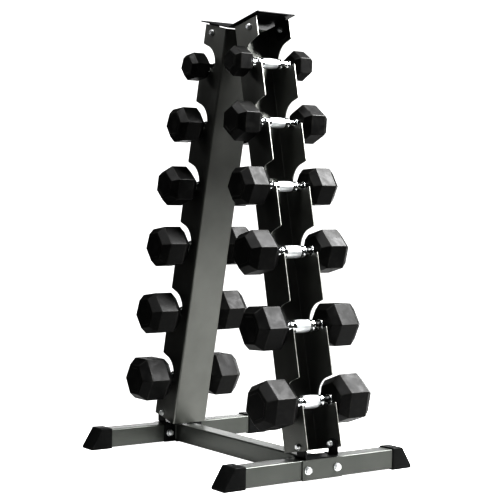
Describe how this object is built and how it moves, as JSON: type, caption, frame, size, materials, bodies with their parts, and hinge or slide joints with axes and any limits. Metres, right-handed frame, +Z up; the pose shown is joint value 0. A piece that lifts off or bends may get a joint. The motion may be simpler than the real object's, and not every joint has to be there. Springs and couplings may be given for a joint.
{
  "type": "dumbbell rack",
  "caption": "A-frame dumbbell rack: two notched channel columns lean together on square-tube feet and cradle pairs of hexagonal rubber dumbbells, which lift out.",
  "frame": {"origin": "on the floor, at the middle of the footprint, below the crossbeam's centre", "axes": "+X along the crossbeam towards the right column, +Y along the dumbbell handles, +Z up"},
  "size_m": [0.7132, 0.59, 1.1756],
  "materials": {
    "upright_coat": "semi-gloss charcoal powder coat",
    "tube_coat": "semi-gloss grey powder coat",
    "bracket_coat": "satin black powder coat",
    "cap_rubber": "moulded matte rubber",
    "head_rubber": "moulded matte rubber with a fine grain",
    "core_iron": "rough casting, out of sight",
    "handle_chrome": "bright chrome plate",
    "zinc": "bright zinc plate"
  },
  "bodies": {
    "rack": {"left_upright": "upright_coat", "right_upright": "upright_coat", "top_bracket": "bracket_coat", "crossbeam": "tube_coat", "left_foot_tube": "tube_coat", "right_foot_tube": "tube_coat", "left_beam_plate": "bracket_coat", "right_beam_plate": "bracket_coat", "left_backing_plate": "tube_coat", "right_backing_plate": "tube_coat", "left_base_bracket": "bracket_coat", "right_base_bracket": "bracket_coat", "left_front_foot_cap": "cap_rubber", "left_rear_foot_cap": "cap_rubber", "right_front_foot_cap": "cap_rubber", "right_rear_foot_cap": "cap_rubber", "upright_bolts": "zinc", "upright_nuts": "zinc", "upright_washers": "zinc", "foot_bolts": "zinc", "foot_nuts": "zinc", "foot_washers": "zinc"},
    "right_dumbbell_1": {"right_dumbbell_1_handle": "handle_chrome", "right_dumbbell_1_cores": "core_iron", "right_dumbbell_1_heads": "head_rubber"},
    "right_dumbbell_2": {"right_dumbbell_2_handle": "handle_chrome", "right_dumbbell_2_cores": "core_iron", "right_dumbbell_2_heads": "head_rubber"},
    "right_dumbbell_3": {"right_dumbbell_3_handle": "handle_chrome", "right_dumbbell_3_cores": "core_iron", "right_dumbbell_3_heads": "head_rubber"},
    "right_dumbbell_4": {"right_dumbbell_4_handle": "handle_chrome", "right_dumbbell_4_cores": "core_iron", "right_dumbbell_4_heads": "head_rubber"},
    "right_dumbbell_5": {"right_dumbbell_5_handle": "handle_chrome", "right_dumbbell_5_cores": "core_iron", "right_dumbbell_5_heads": "head_rubber"},
    "right_dumbbell_6": {"right_dumbbell_6_handle": "handle_chrome", "right_dumbbell_6_cores": "core_iron", "right_dumbbell_6_heads": "head_rubber"},
    "left_dumbbell_1": {"left_dumbbell_1_handle": "handle_chrome", "left_dumbbell_1_cores": "core_iron", "left_dumbbell_1_heads": "head_rubber"},
    "left_dumbbell_2": {"left_dumbbell_2_handle": "handle_chrome", "left_dumbbell_2_cores": "core_iron", "left_dumbbell_2_heads": "head_rubber"},
    "left_dumbbell_3": {"left_dumbbell_3_handle": "handle_chrome", "left_dumbbell_3_cores": "core_iron", "left_dumbbell_3_heads": "head_rubber"},
    "left_dumbbell_4": {"left_dumbbell_4_handle": "handle_chrome", "left_dumbbell_4_cores": "core_iron", "left_dumbbell_4_heads": "head_rubber"},
    "left_dumbbell_5": {"left_dumbbell_5_handle": "handle_chrome", "left_dumbbell_5_cores": "core_iron", "left_dumbbell_5_heads": "head_rubber"},
    "left_dumbbell_6": {"left_dumbbell_6_handle": "handle_chrome", "left_dumbbell_6_cores": "core_iron", "left_dumbbell_6_heads": "head_rubber"}
  },
  "joints": [
    {"name": "right_dumbbell_1_lift", "type": "slide", "parent": "rack", "child": "right_dumbbell_1", "axis": [0.7071, 0, 0.7071], "range_m": [0, 0.18]},
    {"name": "right_dumbbell_2_lift", "type": "slide", "parent": "rack", "child": "right_dumbbell_2", "axis": [0.7071, 0, 0.7071], "range_m": [0, 0.18]},
    {"name": "right_dumbbell_3_lift", "type": "slide", "parent": "rack", "child": "right_dumbbell_3", "axis": [0.7071, 0, 0.7071], "range_m": [0, 0.18]},
    {"name": "right_dumbbell_4_lift", "type": "slide", "parent": "rack", "child": "right_dumbbell_4", "axis": [0.7071, 0, 0.7071], "range_m": [0, 0.18]},
    {"name": "right_dumbbell_5_lift", "type": "slide", "parent": "rack", "child": "right_dumbbell_5", "axis": [0.7071, 0, 0.7071], "range_m": [0, 0.18]},
    {"name": "right_dumbbell_6_lift", "type": "slide", "parent": "rack", "child": "right_dumbbell_6", "axis": [0.7071, 0, 0.7071], "range_m": [0, 0.18]},
    {"name": "left_dumbbell_1_lift", "type": "slide", "parent": "rack", "child": "left_dumbbell_1", "axis": [-0.7071, 0, 0.7071], "range_m": [0, 0.18]},
    {"name": "left_dumbbell_2_lift", "type": "slide", "parent": "rack", "child": "left_dumbbell_2", "axis": [-0.7071, 0, 0.7071], "range_m": [0, 0.18]},
    {"name": "left_dumbbell_3_lift", "type": "slide", "parent": "rack", "child": "left_dumbbell_3", "axis": [-0.7071, 0, 0.7071], "range_m": [0, 0.18]},
    {"name": "left_dumbbell_4_lift", "type": "slide", "parent": "rack", "child": "left_dumbbell_4", "axis": [-0.7071, 0, 0.7071], "range_m": [0, 0.18]},
    {"name": "left_dumbbell_5_lift", "type": "slide", "parent": "rack", "child": "left_dumbbell_5", "axis": [-0.7071, 0, 0.7071], "range_m": [0, 0.18]},
    {"name": "left_dumbbell_6_lift", "type": "slide", "parent": "rack", "child": "left_dumbbell_6", "axis": [-0.7071, 0, 0.7071], "range_m": [0, 0.18]}
  ]
}
